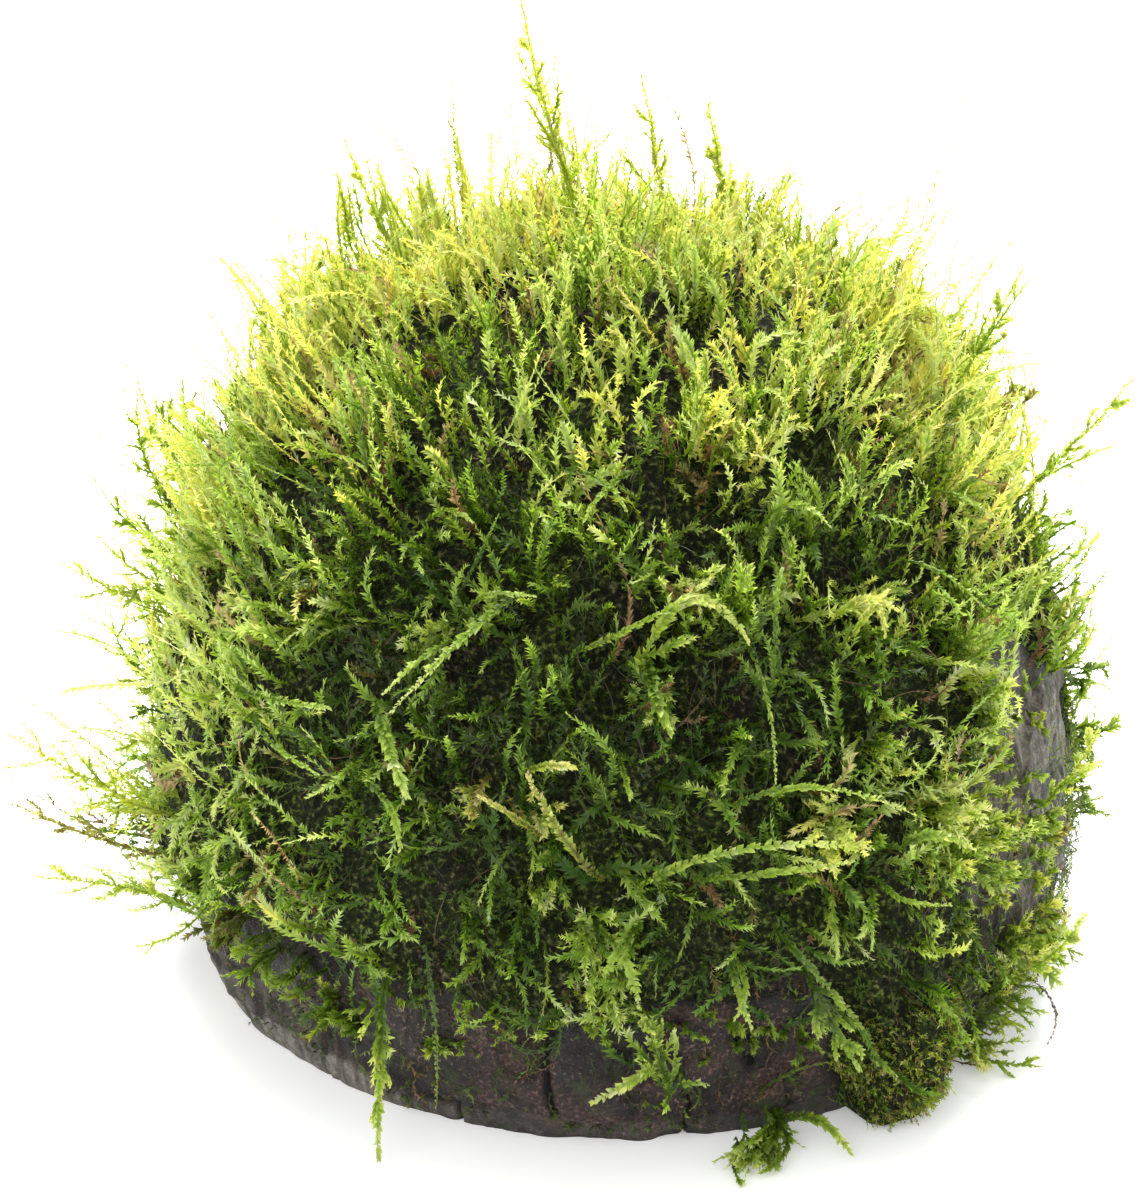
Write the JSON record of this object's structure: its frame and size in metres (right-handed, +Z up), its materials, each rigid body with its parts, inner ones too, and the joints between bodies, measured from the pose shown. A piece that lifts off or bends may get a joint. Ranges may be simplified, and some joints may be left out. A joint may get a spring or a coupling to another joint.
{
  "type": "java moss on coconut",
  "caption": "Hollow coconut shell standing on its sawn rim, overgrown with java moss, with long loose shoots at crown and sides and strands over the bare front band.",
  "frame": {"origin": "on the ground plane, under the middle of the box of the whole plant", "axes": "+Z up, -Y toward the viewer of the picture, +X to the viewer's right"},
  "size_m": [0.135, 0.132, 0.118],
  "materials": {
    "wet_shell": "wet fibrous shell, grey brown",
    "moss_cushion": "wet moss, deep green",
    "moss_shoots": "wet moss, yellow green"
  },
  "bodies": {
    "root": {"coconut_shell": "wet_shell", "moss_mat": "moss_cushion", "moss_shoot_crown_tall": "moss_shoots", "moss_shoot_crown_thin": "moss_shoots", "moss_shoot_crown_left": "moss_shoots", "moss_shoot_crown_middle": "moss_shoots", "moss_shoot_crown_right": "moss_shoots", "moss_shoot_crown_back": "moss_shoots", "moss_shoot_right_high": "moss_shoots", "moss_shoot_right_horn": "moss_shoots", "moss_shoot_right_tuft": "moss_shoots", "moss_shoot_right_low": "moss_shoots", "moss_shoot_left_high": "moss_shoots", "moss_shoot_left_middle": "moss_shoots", "moss_shoot_left_spray": "moss_shoots", "moss_shoot_left_rust": "moss_shoots", "moss_shoot_left_low": "moss_shoots", "moss_shoot_back_low": "moss_shoots", "moss_strand_front_left": "moss_shoots", "moss_strand_front_middle": "moss_shoots", "moss_strand_front_right": "moss_shoots", "moss_sprig_rim_front": "moss_shoots", "moss_sprig_rim_right": "moss_shoots"}
  },
  "joints": []
}
